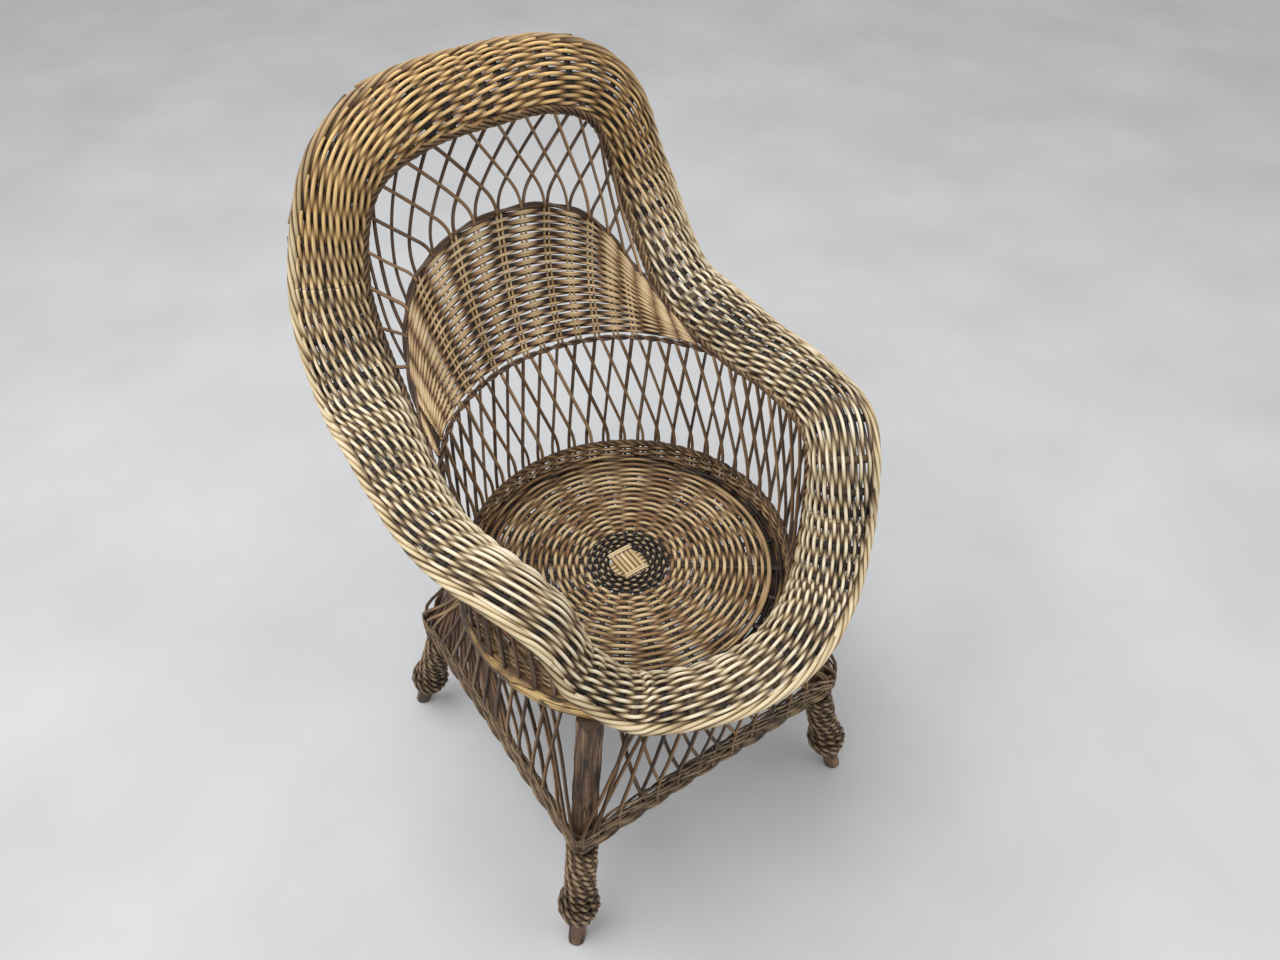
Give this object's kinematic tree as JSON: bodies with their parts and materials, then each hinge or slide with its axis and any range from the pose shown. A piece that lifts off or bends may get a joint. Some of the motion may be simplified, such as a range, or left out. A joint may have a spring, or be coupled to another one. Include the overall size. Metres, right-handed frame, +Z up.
{
  "type": "willow tub armchair",
  "caption": "Round woven willow tub armchair: lattice wall, high woven back, rolled straw-coloured top band, open skirt and splayed legs with rope-like windings.",
  "frame": {"origin": "bottom centre of the bounding box, on the floor", "axes": "+Z up, -Y to the front, +X to the right as seen from the front"},
  "size_m": [0.5634, 0.6175, 0.9545],
  "materials": {
    "post_wood": "matte, bark-brown squared wood",
    "wrap_willow": "satin twisted willow",
    "hoop_wood": "satin peeled wood",
    "skirt_willow": "satin brown willow",
    "rod_willow": "satin dark willow rod",
    "pale_rod_willow": "satin pale willow rod",
    "stick_willow": "matte peeled willow",
    "centre_willow": "matte brown willow",
    "seat_willow": "matte buff willow",
    "panel_willow": "satin buff willow",
    "rim_willow": "satin brown willow",
    "golden_willow": "satin golden willow",
    "straw_willow": "satin straw-grey willow",
    "nail_wire": "dull iron wire"
  },
  "bodies": {
    "root": {"back_arch": "rod_willow", "back_border_wale": "rod_willow", "back_panel_stakes": "stick_willow", "back_panel_weave": "panel_willow", "back_rods_left": "pale_rod_willow", "back_rods_right": "rod_willow", "inner_rim_wale": "rim_willow", "leg_front_left": "post_wood", "leg_front_right": "post_wood", "leg_nails": "nail_wire", "leg_pad_front_left": "wrap_willow", "leg_pad_front_right": "wrap_willow", "leg_pad_rear_left": "wrap_willow", "leg_pad_rear_right": "wrap_willow", "leg_rear_left": "post_wood", "leg_rear_right": "post_wood", "leg_wrap_front_left": "wrap_willow", "leg_wrap_front_right": "wrap_willow", "leg_wrap_rear_left": "wrap_willow", "leg_wrap_rear_right": "wrap_willow", "outer_border": "rim_willow", "roll_arm_left": "straw_willow", "roll_arm_right": "straw_willow", "roll_back": "golden_willow", "roll_front": "straw_willow", "roll_stakes": "rim_willow", "seat_centre_weave": "centre_willow", "seat_cross_lower": "stick_willow", "seat_cross_upper": "stick_willow", "seat_edge_wale": "rod_willow", "seat_hoop": "hoop_wood", "seat_spokes": "rod_willow", "seat_ties": "stick_willow", "seat_weave": "seat_willow", "skirt_corner_front_left": "skirt_willow", "skirt_corner_front_right": "skirt_willow", "skirt_corner_rear_left": "skirt_willow", "skirt_corner_rear_right": "skirt_willow", "skirt_rail_front": "skirt_willow", "skirt_rail_left": "skirt_willow", "skirt_rail_rear": "skirt_willow", "skirt_rail_right": "skirt_willow", "skirt_rods_front": "rod_willow", "skirt_rods_left": "rod_willow", "skirt_rods_rear": "rod_willow", "skirt_rods_right": "rod_willow", "wall_rods_left": "pale_rod_willow", "wall_rods_right": "rod_willow"}
  },
  "joints": []
}
